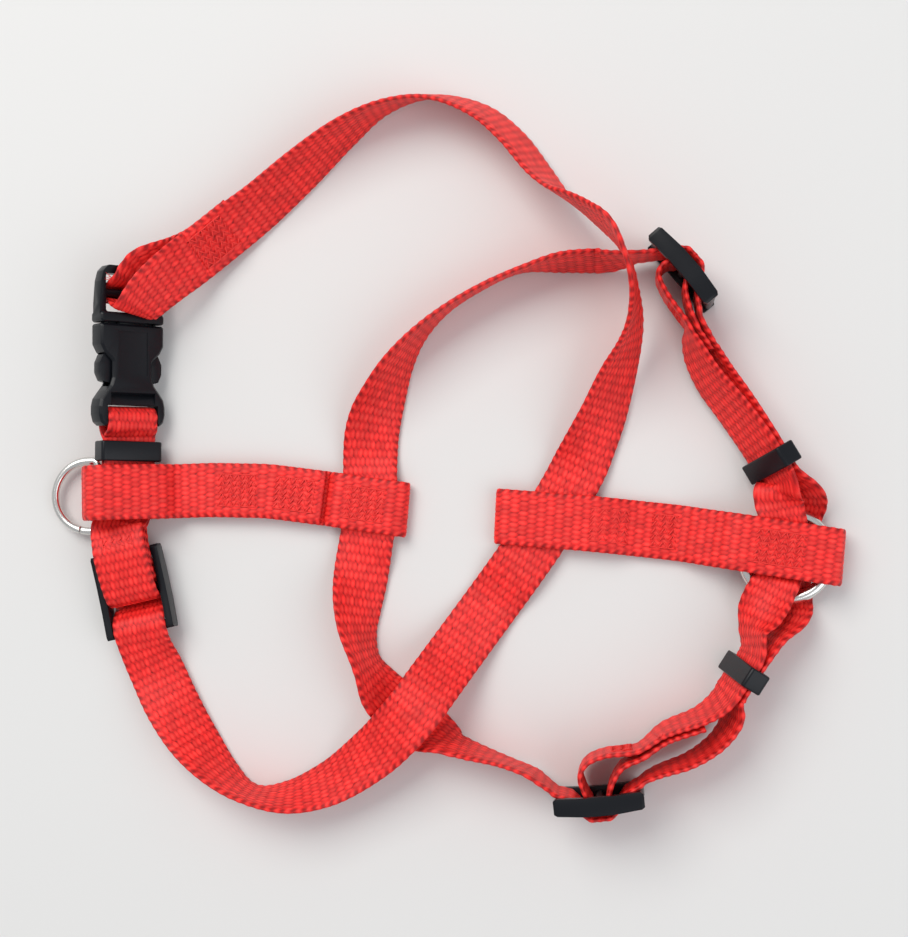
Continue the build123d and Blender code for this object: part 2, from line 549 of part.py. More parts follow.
def hardware():
    made = {
        "buckle_socket": placed(socket(), BUCKLE),
        "buckle_plug": placed(plug(), BUCKLE),
        "plug_arm_left": placed(arm(-1), BUCKLE),
        "plug_arm_right": placed(arm(1), BUCKLE),
        "back_d_ring": d_ring(),
        "front_o_ring": o_ring(),
    }
    for name, frame in (("girth", SLIDE_G), ("neck_upper", SLIDE_U), ("neck_lower", SLIDE_L_)):
        made[name + "_slide"] = placed(slide(), frame)
    for name, frame in (("girth", KEEPER_G), ("neck_upper", KEEPER_U), ("neck_lower", KEEPER_L_)):
        made[name + "_keeper"] = placed(keeper(), frame)
    return made


os.makedirs("parts", exist_ok=True)
for node, shape in {**hardware(), **straps()}.items():
    export_step(Pos(-ORIGIN[0], -ORIGIN[1], -ORIGIN[2]) * shape, "parts/" + node + ".step")
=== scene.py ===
from math import cos, radians, sin, tan

import bpy
import numpy as np
from mathutils import Matrix, Vector


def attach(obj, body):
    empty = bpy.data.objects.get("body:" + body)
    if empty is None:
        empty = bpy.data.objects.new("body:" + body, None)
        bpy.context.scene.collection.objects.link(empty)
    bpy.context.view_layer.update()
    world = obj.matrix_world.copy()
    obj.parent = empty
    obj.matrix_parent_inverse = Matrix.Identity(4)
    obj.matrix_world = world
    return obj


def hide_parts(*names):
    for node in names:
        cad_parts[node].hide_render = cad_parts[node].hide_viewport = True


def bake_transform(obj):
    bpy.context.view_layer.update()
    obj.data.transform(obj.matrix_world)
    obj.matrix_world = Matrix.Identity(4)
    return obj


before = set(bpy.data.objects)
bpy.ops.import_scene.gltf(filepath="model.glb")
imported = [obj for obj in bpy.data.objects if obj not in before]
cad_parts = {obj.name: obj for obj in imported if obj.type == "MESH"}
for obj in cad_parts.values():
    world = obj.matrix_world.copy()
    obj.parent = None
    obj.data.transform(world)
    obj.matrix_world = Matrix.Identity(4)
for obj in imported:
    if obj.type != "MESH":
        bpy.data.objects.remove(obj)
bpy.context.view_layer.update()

# Table coordinates are millimetres; ORIGIN is the row frame's origin in them.
ORIGIN = np.array([-4.6, 5.85, 0.0])
UP = np.array([0.0, 0.0, 1.0])
WEB_W = 16.0
WEB_T = 1.6
ROW = 2.65          # pitch of the rows of the weave along the strap
GRAIN = 1.42        # pitch of the warp yarns across the strap
STEPS_PER_ROW = 6
RELIEF = 0.30       # depth of the valleys between the yarns


def vec(*xyz):
    return np.array(xyz, float)


def unit(v):
    return v / np.linalg.norm(v)


# ------------------------------------------------------------------ camera

def camera():
    normal = unit(vec(tan(radians(6.6)), -tan(radians(2.0)), 1))
    right = unit(vec(1, 0, 0) - normal[0] * normal)
    up = np.cross(normal, right)
    data = bpy.data.cameras.new("camera")
    data.sensor_fit = "VERTICAL"
    data.sensor_height = 36.0
    data.lens = 36.0 * 1505 / 937
    data.clip_start, data.clip_end = 0.01, 20
    cam = bpy.data.objects.new("camera", data)
    bpy.context.scene.collection.objects.link(cam)
    at = (normal * 450.0 - ORIGIN) / 1000
    matrix = Matrix.Identity(4)
    for k, column in enumerate((right, up, normal, at)):
        for row in range(3):
            matrix[row][k] = column[row]
    cam.matrix_world = matrix
    bpy.context.scene.camera = cam


camera()


# ------------------------------------------------------------------ local frames

class Frame:
    """Origin with X, Y and Z directions, in table coordinates."""

    def __init__(self, at, y_dir, z_dir):
        self.at = vec(*at)
        self.y = unit(vec(*y_dir))
        self.z = unit(vec(*z_dir))
        self.x = np.cross(self.y, self.z)

    def point(self, x, y, z):
        return self.at + self.x * x + self.y * y + self.z * z


def rolled(at, heading, roll, rise=0.0):
    along = unit(vec(cos(radians(heading)), sin(radians(heading)), rise))
    left = unit(np.cross(UP, along))
    side = left * cos(radians(roll)) + np.cross(along, left) * sin(radians(roll))
    return Frame(at, along, np.cross(along, side))


BUCKLE_ROLL = 48.0
BUCKLE = rolled((-97.3, 42.6, 11.2), 90, BUCKLE_ROLL, 0.035)
SLIDE_G = Frame((-96.3, -37.5, 5.3), (-0.225, 0.974, 0), (0, 0, 1))
SLIDE_U = Frame((67.4, 56.8, 10.7), (0.648, -0.762, 0), (-0.762, -0.648, 0))
SLIDE_L = Frame((43.6, -95.2, 10.7), (0.993, 0.113, 0), (-0.113, 0.993, 0))


# ------------------------------------------------------------------ strap routes
# A route is a list of keys (point, side, width); side is the direction across.

def headings(points):
    legs = [unit(b - a) for a, b in zip(points, points[1:])]
    inner = [unit(a + b) for a, b in zip(legs, legs[1:])]
    return [legs[0], *inner, legs[-1]]


def resting(roll):
    turn = radians(roll)
    return WEB_W / 2 * abs(sin(turn)) + WEB_T / 2 * abs(cos(turn)) + 0.1


def lying(stations, shifts=None, width=WEB_W):
    """Keys of a strap through stations (x, y, z, roll); the roll lifts its left edge."""
    points = [vec(x, y, max(z, resting(roll))) for x, y, z, roll in stations]
    keys = []
    for k, (point, along) in enumerate(zip(points, headings(points))):
        left = unit(np.cross(UP, along))
        roll = radians(stations[k][3])
        side = left * cos(roll) + np.cross(along, left) * sin(roll)
        shift = shifts[k] if shifts else 0.0
        keys.append((point + np.cross(along, side) * shift, side, width))
    return keys


def across(slide, path, sign=1, width=WEB_W):
    """Keys of a strap drawn in a slide's own Y and Z."""
    return [(slide.point(0, y, z), slide.x * sign, width) for y, z in path]


def loose(path):
    """Keys given outright: (x, y, z), (side), width."""
    return [(vec(*at), unit(vec(*side)), width) for at, side, width in path]


UNDER_BAR = [(-7.6, 1.4), (-5.0, -2.2), (-3.0, -4.2), (0.0, -4.4), (3.0, -4.2), (5.0, -2.2), (7.6, 1.4)]
ROUND_BAR = [(2.7, 0.5), (2.1, -1.4), (0.9, -2.35), (-0.9, -2.35), (-2.1, -1.4), (-2.7, 0.5)]


# ------------------------------------------------------------------ weave

def noise(i, j, salt):
    """Repeatable value from 0 to 1 for a yarn's row and number."""
    value = np.sin(i * 12.9898 + j * 78.233 + salt * 37.719) * 43758.5453
    return value - np.floor(value)


def weave(u, v, salt):
    """Height from 0 in the valleys to 1 on the crowns, and a shade for each grain."""
    high = np.zeros(np.broadcast(u, v).shape)
    shade = np.zeros_like(high)
    row = np.round(u / ROW)
    for di in (-1, 0, 1):
        i = row + di
        offset = 0.5 * np.mod(i, 2)
        near = np.round(v / GRAIN - offset)
        for dj in (-1, 0, 1):
            j = near + dj
            lean = (noise(i, j, salt + 5) - 0.5) * 0.22
            du = u - i * ROW
            dv = v - (j + offset) * GRAIN - lean * du * 0.6
            r2 = (du / (0.66 * ROW)) ** 2 + (dv / (0.60 * GRAIN)) ** 2
            top = np.sqrt(np.clip(1 - r2, 0, 1)) * (0.86 + 0.14 * noise(i, j, salt))
            shade = np.where(top > high, noise(i, j, salt + 9), shade)
            high = np.maximum(high, top)
    return high, shade


# ------------------------------------------------------------------ strap meshes

def spline(keys):
    """Points, sides and widths along a smooth curve through the keys, ROW / STEPS apart."""
    p = np.array([k[0] for k in keys])
    s = np.array([k[1] for k in keys])
    w = np.array([[k[2]] for k in keys])
    for k in range(1, len(s)):
        if s[k] @ s[k - 1] < 0:
            s[k] = -s[k]
    data = np.hstack([p, s, w])
    data = np.vstack([2 * data[0] - data[1], data, 2 * data[-1] - data[-2]])
    knots = [0.0]
    for a, b in zip(data, data[1:]):
        knots.append(knots[-1] + max(np.linalg.norm(b[:3] - a[:3]), 1e-6) ** 0.5)
    out = []
    for k in range(1, len(data) - 2):
        t0, t1, t2, t3 = knots[k - 1:k + 3]
        for t in np.linspace(t1, t2, 40, endpoint=False):
            a = data[k - 1:k + 3]
            a1 = (t1 - t) / (t1 - t0) * a[0] + (t - t0) / (t1 - t0) * a[1]
            a2 = (t2 - t) / (t2 - t1) * a[1] + (t - t1) / (t2 - t1) * a[2]
            a3 = (t3 - t) / (t3 - t2) * a[2] + (t - t2) / (t3 - t2) * a[3]
            b1 = (t2 - t) / (t2 - t0) * a1 + (t - t0) / (t2 - t0) * a2
            b2 = (t3 - t) / (t3 - t1) * a2 + (t - t1) / (t3 - t1) * a3
            out.append((t2 - t) / (t2 - t1) * b1 + (t - t1) / (t2 - t1) * b2)
    out.append(data[-2])
    out = np.array(out)
    far = np.concatenate([[0], np.cumsum(np.linalg.norm(np.diff(out[:, :3], axis=0), axis=1))])
    count = max(int(round(far[-1] / (ROW / STEPS_PER_ROW))), 4)
    at = np.linspace(0, far[-1], count + 1)
    even = np.array([np.interp(at, far, out[:, c]) for c in range(7)]).T
    return even, at


def section(width, u, salt, thick=WEB_T):
    """Outline of the webbing at each u: offsets across and out, with height and shade."""
    half = width / 2 - 0.25
    count = 40
    v = np.linspace(-1, 1, count)[None, :] * half[:, None]
    edge = np.clip((np.abs(v) - (half[:, None] - 1.5)) / 1.5, 0, 1)
    u2 = u[:, None]
    parts = []
    for face, shift in ((1, 0.0), (-1, ROW)):
        high, shade = weave(u2 + shift, v * (WEB_W / width)[:, None], salt + face)
        braid = 0.5 + 0.5 * np.cos(2 * np.pi * (u2 / ROW - 0.30 * np.sign(v) * (np.abs(v) - half[:, None])))
        high = high * (1 - edge * 0.75) + edge * 0.75 * braid
        out = thick / 2 - RELIEF * (1 - high) - 0.16 * edge ** 2
        parts.append((v, face * out, high, shade))
    bulge = 0.14 * (0.5 + 0.5 * np.cos(2 * np.pi * u2 / ROW))
    rim = np.radians([50, 90, 130])[None, :]
    side = half[:, None] + (0.34 + bulge) * np.sin(rim)
    lift = (thick / 2 - 0.30) * np.cos(rim)
    # Painted highlight and shade on the edge rim: lighter where the braided edge bulges out, darker between
    # the bulges.
    rim_painted_light = np.broadcast_to(0.35 + 0.5 * bulge / 0.14, side.shape)
    flat = np.zeros_like(side) + 0.5
    top, low = parts
    ring_v = np.hstack([top[0], side, low[0][:, ::-1], -side[:, ::-1]])
    lift = np.broadcast_to(lift, side.shape)
    ring_n = np.hstack([top[1], lift, low[1][:, ::-1], lift[:, ::-1]])
    high = np.hstack([top[2], rim_painted_light, low[2][:, ::-1], rim_painted_light])
    shade = np.hstack([top[3], flat, low[3][:, ::-1], flat])
    return ring_v, ring_n, high, shade


def mesh_object(name, verts, faces, smooth=True):
    mesh = bpy.data.meshes.new(name)
    verts = np.asarray(verts, np.float32)
    faces = np.asarray(faces, np.int32)
    mesh.vertices.add(len(verts))
    mesh.vertices.foreach_set("co", verts.ravel())
    mesh.loops.add(faces.size)
    mesh.loops.foreach_set("vertex_index", faces.ravel())
    mesh.polygons.add(len(faces))
    size = faces.shape[1]
    mesh.polygons.foreach_set("loop_start", np.arange(0, faces.size, size, dtype=np.int32))
    mesh.polygons.foreach_set("loop_total", np.full(len(faces), size, np.int32))
    mesh.update(calc_edges=True)
    mesh.validate()
    if smooth:
        mesh.polygons.foreach_set("use_smooth", np.ones(len(mesh.polygons), bool))
    obj = bpy.data.objects.new(name, mesh)
    bpy.context.scene.collection.objects.link(obj)
    return obj


def frames_along(even):
    """Directions across and out of the webbing at every sample, kept clear of the table."""
    p, s = even[:, :3].copy(), even[:, 3:6]
    t = np.gradient(p, axis=0)
    t /= np.linalg.norm(t, axis=1)[:, None]
    s = s - (s * t).sum(1)[:, None] * t
    s /= np.linalg.norm(s, axis=1)[:, None]
    n = np.cross(t, s)
    reach = (even[:, 6] / 2 + 0.25) * np.abs(s[:, 2]) + (WEB_T / 2 + 0.02) * np.abs(n[:, 2])
    p[:, 2] = np.maximum(p[:, 2], reach + 0.06)
    return p, s, n, t


def split(keys, cuts=()):
    """Lengths of one route, cut nearest to the given points; frames run on through the cuts."""
    even, at = spline(keys)
    p, s, n, t = frames_along(even)
    marks = [0]
    for cut in cuts:
        marks.append(int(np.argmin(np.linalg.norm(p - np.asarray(cut, float), axis=1))))
    marks.append(len(at) - 1)
    total = at[-1]
    return [{"p": p[a:b + 1], "s": s[a:b + 1], "n": n[a:b + 1], "t": t[a:b + 1], "w": even[a:b + 1, 6],
             "at": at[a:b + 1], "total": total} for a, b in zip(marks, marks[1:])]


def melted(high, route, salt):
    """Weave heights with the yarns fused smooth within a millimetre of a cut end."""
    at = route["at"][:, None]
    near = np.minimum(at, route["total"] - at)
    ragged = 0.9 + 0.5 * noise(np.arange(high.shape[1])[None, :], 3.0, salt)
    fuse = np.clip(1 - near / ragged, 0, 1)
    return high * (1 - fuse) + 0.55 * fuse, fuse


def end_cap(offset, size, flip):
    """Triangles across one open end of the tube of webbing."""
    half = (size - 6) // 2
    order = list(range(half - 1, -1, -1)) + [size - 1, size - 2, size - 3]
    facing = list(range(half, size - 3))
    left, right = order, facing
    tris = []
    i = j = 0
    while i < len(left) - 1 or j < len(right) - 1:
        if j == len(right) - 1 or (i < len(left) - 1 and i * len(right) <= j * len(left)):
            tris.append((left[i], left[i + 1], right[j]))
            i += 1
        else:
            tris.append((left[i], right[j + 1], right[j]))
            j += 1
    tris = [(offset + a, offset + b, offset + c) for a, b, c in tris]
    return [t[::-1] for t in tris] if flip else tris


def strap_piece(name, route, salt, material):
    """One length of webbing as a closed mesh, with its weave modelled."""
    p, s, n, at = route["p"], route["s"], route["n"], route["at"]
    ring_v, ring_n, high, shade = section(route["w"], at, salt)
    high, fuse = melted(high, route, salt)
    verts = p[:, None, :] + ring_v[:, :, None] * s[:, None, :] + ring_n[:, :, None] * n[:, None, :]
    ends = noise(np.arange(ring_v.shape[1])[None, :], 8.0, salt) - 0.5
    verts += (fuse * ends * 0.5)[:, :, None] * route["t"][:, None, :]
    rings, size = ring_v.shape
    k = np.arange(size)
    m = (k + 1) % size
    base = (np.arange(rings - 1) * size)[:, None]
    quads = np.stack([base + k, base + m, base + size + m, base + size + k], axis=-1).reshape(-1, 4)
    tris = np.concatenate([quads[:, [0, 1, 2]], quads[:, [0, 2, 3]]])
    caps = end_cap(0, size, False) + end_cap((rings - 1) * size, size, True)
    obj = mesh_object(name, (verts.reshape(-1, 3) - ORIGIN) / 1000, np.concatenate([tris, np.array(caps)]))
    # weave_height also sets the webbing's painted shade in the valleys and painted highlight on the crowns.
    for label, values in (("weave_height", high), ("grain_shade", shade)):
        layer = obj.data.attributes.new(label, "FLOAT", "POINT")
        layer.data.foreach_set("value", np.broadcast_to(values, high.shape).astype(np.float32).ravel())
    uv = np.stack([np.broadcast_to(at[:, None], ring_v.shape), ring_v, 0 * ring_v], axis=-1) / 1000
    layer = obj.data.attributes.new("strap_uv", "FLOAT_VECTOR", "POINT")
    layer.data.foreach_set("vector", uv.astype(np.float32).ravel())
    obj.data.materials.append(material)
    return obj


# ------------------------------------------------------------------ materials

def material(name):
    mat = bpy.data.materials.new(name)
    mat.use_nodes = True
    return mat, mat.node_tree.nodes, mat.node_tree.links, mat.node_tree.nodes["Principled BSDF"]


def ramp(nodes, stops):
    node = nodes.new("ShaderNodeValToRGB")
    elements = node.color_ramp.elements
    while len(elements) < len(stops):
        elements.new(0.5)
    for element, (at, colour) in zip(elements, stops):
        element.position = at
        element.color = (*colour, 1)
    return node


def webbing_material():
    mat, nodes, links, shader = material("red_webbing")
    height = nodes.new("ShaderNodeAttribute")
    height.attribute_name = "weave_height"
    shade = nodes.new("ShaderNodeAttribute")
    shade.attribute_name = "grain_shade"
    place = nodes.new("ShaderNodeAttribute")
    place.attribute_name = "strap_uv"
    # Painted shade and highlight: this ramp darkens the valleys between the yarns and lightens the yarn
    # crowns by weave height, on top of the modelled relief.
    colours = ramp(nodes, [(0.0, (0.13, 0.002, 0.002)), (0.40, (0.46, 0.006, 0.006)),
                           (0.72, (0.86, 0.018, 0.016)), (1.0, (1.0, 0.060, 0.045))])
    links.new(height.outputs["Fac"], colours.inputs["Fac"])
    tint = nodes.new("ShaderNodeMapRange")
    tint.inputs["To Min"].default_value = 0.82
    tint.inputs["To Max"].default_value = 1.12
    links.new(shade.outputs["Fac"], tint.inputs["Value"])
    patchy = nodes.new("ShaderNodeTexNoise")
    patchy.inputs["Scale"].default_value = 90
    patchy.inputs["Detail"].default_value = 3
    wear = nodes.new("ShaderNodeMapRange")
    wear.inputs["From Min"].default_value = 0.35
    wear.inputs["From Max"].default_value = 0.7
    wear.inputs["To Min"].default_value = 0.93
    wear.inputs["To Max"].default_value = 1.08
    links.new(patchy.outputs["Fac"], wear.inputs["Value"])
    both = nodes.new("ShaderNodeMath")
    both.operation = "MULTIPLY"
    links.new(tint.outputs["Result"], both.inputs[0])
    links.new(wear.outputs["Result"], both.inputs[1])
    mix = nodes.new("ShaderNodeVectorMath")
    mix.operation = "SCALE"
    links.new(colours.outputs["Color"], mix.inputs[0])
    links.new(both.outputs["Value"], mix.inputs["Scale"])
    links.new(mix.outputs["Vector"], shader.inputs["Base Color"])
    fibres = nodes.new("ShaderNodeTexWave")
    fibres.wave_type = "BANDS"
    fibres.bands_direction = "Y"
    fibres.inputs["Scale"].default_value = 1300
    fibres.inputs["Distortion"].default_value = 3.5
    fibres.inputs["Detail"].default_value = 2
    fibres.inputs["Detail Scale"].default_value = 1.6
    links.new(place.outputs["Vector"], fibres.inputs["Vector"])
    bump = nodes.new("ShaderNodeBump")
    bump.inputs["Strength"].default_value = 0.35
    bump.inputs["Distance"].default_value = 0.00006
    links.new(fibres.outputs["Fac"], bump.inputs["Height"])
    links.new(bump.outputs["Normal"], shader.inputs["Normal"])
    shader.inputs["Roughness"].default_value = 0.5
    shader.inputs["Specular IOR Level"].default_value = 0.34
    shader.inputs["Sheen Weight"].default_value = 0.08
    shader.inputs["Sheen Roughness"].default_value = 0.4
    shader.inputs["Sheen Tint"].default_value = (1.0, 0.4, 0.35, 1)
    return mat


def thread_material():
    mat, nodes, links, shader = material("red_thread")
    shade = nodes.new("ShaderNodeTexNoise")
    shade.inputs["Scale"].default_value = 900
    shade.inputs["Detail"].default_value = 2
    colours = ramp(nodes, [(0.3, (0.70, 0.012, 0.012)), (0.7, (1.0, 0.055, 0.042))])
    links.new(shade.outputs["Fac"], colours.inputs["Fac"])
    links.new(colours.outputs["Color"], shader.inputs["Base Color"])
    twist = nodes.new("ShaderNodeTexWave")
    twist.inputs["Scale"].default_value = 1600
    twist.inputs["Distortion"].default_value = 2
    bump = nodes.new("ShaderNodeBump")
    bump.inputs["Strength"].default_value = 0.4
    bump.inputs["Distance"].default_value = 0.00005
    links.new(twist.outputs["Fac"], bump.inputs["Height"])
    links.new(bump.outputs["Normal"], shader.inputs["Normal"])
    shader.inputs["Roughness"].default_value = 0.5
    return mat


def plastic_material():
    mat, nodes, links, shader = material("black_plastic")
    grain = nodes.new("ShaderNodeTexNoise")
    grain.inputs["Scale"].default_value = 2600
    grain.inputs["Detail"].default_value = 3
    cloud = nodes.new("ShaderNodeTexNoise")
    cloud.inputs["Scale"].default_value = 160
    cloud.inputs["Detail"].default_value = 4
    colours = ramp(nodes, [(0.35, (0.0035, 0.0042, 0.0060)), (0.7, (0.0085, 0.0098, 0.0135))])
    links.new(cloud.outputs["Fac"], colours.inputs["Fac"])
    links.new(colours.outputs["Color"], shader.inputs["Base Color"])
    gloss = nodes.new("ShaderNodeMapRange")
    gloss.inputs["To Min"].default_value = 0.24
    gloss.inputs["To Max"].default_value = 0.38
    links.new(cloud.outputs["Fac"], gloss.inputs["Value"])
    links.new(gloss.outputs["Result"], shader.inputs["Roughness"])
    bump = nodes.new("ShaderNodeBump")
    bump.inputs["Strength"].default_value = 0.12
    bump.inputs["Distance"].default_value = 0.00004
    links.new(grain.outputs["Fac"], bump.inputs["Height"])
    links.new(bump.outputs["Normal"], shader.inputs["Normal"])
    shader.inputs["Specular IOR Level"].default_value = 0.24
    return mat


def metal_material():
    mat, nodes, links, shader = material("nickel_wire")
    cloud = nodes.new("ShaderNodeTexNoise")
    cloud.inputs["Scale"].default_value = 220
    cloud.inputs["Detail"].default_value = 5
    colours = ramp(nodes, [(0.3, (0.60, 0.585, 0.55)), (0.65, (0.83, 0.82, 0.79))])
    links.new(cloud.outputs["Fac"], colours.inputs["Fac"])
    links.new(colours.outputs["Color"], shader.inputs["Base Color"])
    gloss = nodes.new("ShaderNodeMapRange")
    gloss.inputs["To Min"].default_value = 0.14
    gloss.inputs["To Max"].default_value = 0.30
    links.new(cloud.outputs["Fac"], gloss.inputs["Value"])
    links.new(gloss.outputs["Result"], shader.inputs["Roughness"])
    scratch = nodes.new("ShaderNodeTexNoise")
    scratch.inputs["Scale"].default_value = 1400
    bump = nodes.new("ShaderNodeBump")
    bump.inputs["Strength"].default_value = 0.08
    bump.inputs["Distance"].default_value = 0.00003
    links.new(scratch.outputs["Fac"], bump.inputs["Height"])
    links.new(bump.outputs["Normal"], shader.inputs["Normal"])
    shader.inputs["Metallic"].default_value = 1.0
    return mat


WEBBING = webbing_material()
THREAD = thread_material()
PLASTIC = plastic_material()
METAL = metal_material()


# ------------------------------------------------------------------ girth strap

PLUG_UNDER = [(4.4, 17.2, 3.7, 20, 13.5), (1.9, 14.8, 3.3, 14, 14.0), (0.7, 12.9, 2.2, 8, 14.5)]
PLUG_OVER = [
    (-0.4, 5.6, 1.9, 4, 14.6), (-0.9, 4.1, 3.7, 9, 13.6),
    (-1.1, 3.4, 5.0, 12, 13.2), (-0.9, 4.4, 6.6, 14, 13.6),
]
GIRTH_UPPER = [
    (-70.5, 69.4, 7.2, 34), (-58.0, 79.0, 6.6, 46), (-45.5, 89.5, 7.2, 56),
    (-32.5, 100.0, 8.1, 73), (-20.0, 107.5, 8.3, 93), (-6.5, 110.0, 8.2, 106),
    (8.0, 105.5, 8.2, 116), (17.5, 97.5, 9.0, 119), (26.0, 86.6, 10.0, 116),
    (32.3, 79.4, 12.0, 103), (37.3, 75.5, 15.5, 92), (43.6, 70.0, 21.0, 86), (48.6, 64.2, 26.5, 88),
    (51.6, 57.0, 26.9, 94), (53.2, 48.2, 20.5, 98), (52.5, 38.5, 13.5, 109), (49.0, 28.0, 8.6, 126),
    (44.5, 15.5, 6.2, 143), (40.0, 5.5, 4.2, 160), (37.6, 0.5, 3.1, 174),
    (34.7, -5.0, 2.8, 180), (30.6, -12.1, 2.75, 180),
    (25.8, -20.0, 2.75, 180), (18.6, -30.4, 2.75, 180), (11.6, -40.0, 1.2, 180),
    (2.0, -53.4, 4.6, 180), (-6.0, -65.0, 12.8, 181), (-9.5, -70.0, 14.8, 183), (-15.0, -76.3, 14.2, 190),
    (-21.5, -82.7, 11.3, 200), (-36.0, -93.0, 7.4, 223), (-47.5, -97.0, 8.0, 243), (-59.5, -96.6, 8.3, 262),
    (-68.5, -90.5, 8.2, 247), (-77.3, -81.2, 6.6, 223), (-84.4, -71.0, 5.0, 205), (-89.6, -61.5, 3.6, 190),
]
G_ENTRY = [(-12.4, 2.5), (-9.9, 2.5)]
G_LOWER = [(9.9, 2.45), (13.1, 2.45), (17.6, 1.2), (20.8, 0.7)]
G_UPPER = [(20.7, 3.8), (17.6, 5.1), (13.2, 6.3), (9.0, 6.15), (3.0, 5.0), (-1.5, 3.0)]
G_STUB = [(4.4, 2.6), (8.4, 4.25), (13.2, 4.4), (17.4, 3.3)]
G_LEGS = [(-99.6, -13.4, 6.2, 5), (-98.3, -7.0, 7.0, 20), (-97.5, 0.4, 9.0, 42), (-97.5, 9.1, 9.0, 42)]
G_BAR = [(-30.8, -2.7), (-28.8, -2.9), (-26.9, -2.9), (-25.4, -1.7), (-25.1, 0)]
G_BAR += [(y, -z) for y, z in G_BAR[-2::-1]]


def plug_key(x, y, z, skew, width):
    """Key in the buckle's frame, its width turned in the buckle's plane."""
    turn = radians(skew)
    return BUCKLE.point(x, y, z), BUCKLE.x * cos(turn) - BUCKLE.y * sin(turn), width


def girth_strap():
    lain = unit(vec(0.50, -0.67, -0.54))
    keys = [(vec(-64.9, 74.9, 5.0), lain, 15.6), (vec(-70.8, 70.5, 5.0), lain, 15.4)]
    keys += [(vec(-77.2, 66.4, 5.0), lain, 14.6)]
    keys += [(vec(-84.0, 63.2, 6.6), unit(vec(0.58, -0.52, -0.62)), 14.0)]
    keys += [plug_key(*at) for at in PLUG_UNDER]
    keys += [plug_key(0, 9.2 + y, z, 0, 15.0) for y, z in ROUND_BAR]
    keys += [plug_key(*at) for at in PLUG_OVER]
    keys += [(vec(-88.6, 52.0, 15.4), unit(vec(0.61, -0.38, -0.69)), 15.2)]
    keys += [(vec(-82.6, 58.2, 12.6), unit(vec(0.56, -0.52, -0.65)), 16.0)]
    keys += [(vec(-77.0, 63.8, 8.8), lain, 16.0)]
    upper = lying(GIRTH_UPPER)
    upper = [(at, -side, width) for at, side, width in upper]
    keys += upper
    keys += across(SLIDE_G, [(-16.8, 0.8)] + G_ENTRY, 1)
    keys += across(SLIDE_G, UNDER_BAR[:4], 1)
    cuts = [(-77.0, 63.8, 8.8), (-6.5, 110.0, 8.2), (-77.3, -81.2, 6.6)]
    loop, upper, lower, entry = split(keys, cuts)
    piece = strap_piece("girth_strap_plug_loop", loop, 1, WEBBING)
    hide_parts("girth_plug_loop")
    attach(piece, "girth_plug_half")
    piece = strap_piece("girth_strap_front", upper, 1, WEBBING)
    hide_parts("girth_upper_run")
    blend(piece)
    piece = strap_piece("girth_strap_body", lower, 1, WEBBING)
    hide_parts("girth_crossing_run", "girth_lower_run")
    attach(piece, "webbing")
    piece = strap_piece("girth_strap_into_slide", entry, 1, WEBBING)
    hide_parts("girth_slide_entry")
    blend(piece)


def blend(piece):
    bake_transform(piece)


def girth_band():
    down, up = [], []
    for x, y, z, roll in G_LEGS:
        side = vec(-cos(radians(roll)), 0, sin(radians(roll)))
        face = np.cross(vec(0, 1, 0), side)
        down.append((vec(x, y, z) - face * 0.9, side, WEB_W))
        up.append((vec(x, y, z) + face * 0.9, side, WEB_W))
    keys = across(SLIDE_G, UNDER_BAR[3:] + G_LOWER, -1) + down
    keys += [(BUCKLE.point(0, y, z), -BUCKLE.x, WEB_W) for y, z in G_BAR]
    keys += up[::-1] + across(SLIDE_G, G_UPPER + ROUND_BAR[::-1] + G_STUB, -1)
    piece = strap_piece("girth_strap_slide_to_buckle", split(keys)[0], 2, WEBBING)
    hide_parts("girth_slide_weave", "girth_slide_wrap", "girth_buckle_loop")
    blend(piece)


# ------------------------------------------------------------------ neck strap

NECK_BACK = [
    (42.0, 60.3, 8.2, -76), (32.0, 60.0, 7.6, -80), (20.0, 58.0, 8.1, -96), (8.5, 53.0, 8.2, -96),
    (-2.0, 46.5, 8.3, -93), (-10.0, 39.0, 8.3, -83), (-16.0, 30.5, 7.6, -66), (-20.0, 22.5, 6.2, -48),
    (-22.8, 16.0, 4.2, -30), (-24.4, 10.0, 2.8, -16), (-25.0, 4.0, 2.0, -6), (-24.9, -3.0, 2.75, 0),
    (-24.7, -12.6, 2.75, 0), (-26.1, -22.5, 2.75, 0), (-27.4, -31.5, 3.0, -14), (-28.0, -40.5, 5.6, -38),
    (-27.5, -48.5, 7.2, -58), (-24.6, -58.0, 7.9, -69), (-20.5, -66.0, 5.7, -43), (-14.6, -72.0, 4.4, -26),
    (-7.0, -77.0, 5.2, -38), (0.6, -80.5, 8.0, -72), (3.4, -81.55, 8.1, -78),
]
U_ENTRY = [(52.8, 60.8, 10.7, 88), (44.5, 60.3, 8.2, 76)]
L_ENTRY = [(6.4, -82.6, 8.2, -81), (16.0, -85.4, 9.0, -89), (24.4, -88.3, 10.7, -90)]
U_IN = [(-10.2, 5.4), (-9.0, 3.6)]
L_IN = [(-14.2, 5.4), (-12.0, 3.3), (-9.9, 2.5)]
U_OUT = [(9.6, 2.8), (12.3, 4.6), (13.2, 5.2)]
L_OUT = [(9.6, 2.7), (12.4, 4.0), (13.3, 4.7)]
U_LONG = [(13.4, 9.6), (12.0, 9.4), (2.0, 8.4), (-3.4, 6.4), (-4.2, 3.2)]
L_LONG = [(12.4, 13.4), (3.0, 13.0), (-2.6, 11.0), (-4.6, 7.6), (-3.9, 3.6)]
U_STUB = [(3.9, 2.6), (7.0, 4.9), (11.6, 6.9), (13.4, 7.4)]
L_STUB = [(3.3, 2.8), (4.6, 5.6), (7.6, 9.2), (13.0, 11.2), (14.6, 11.9)]
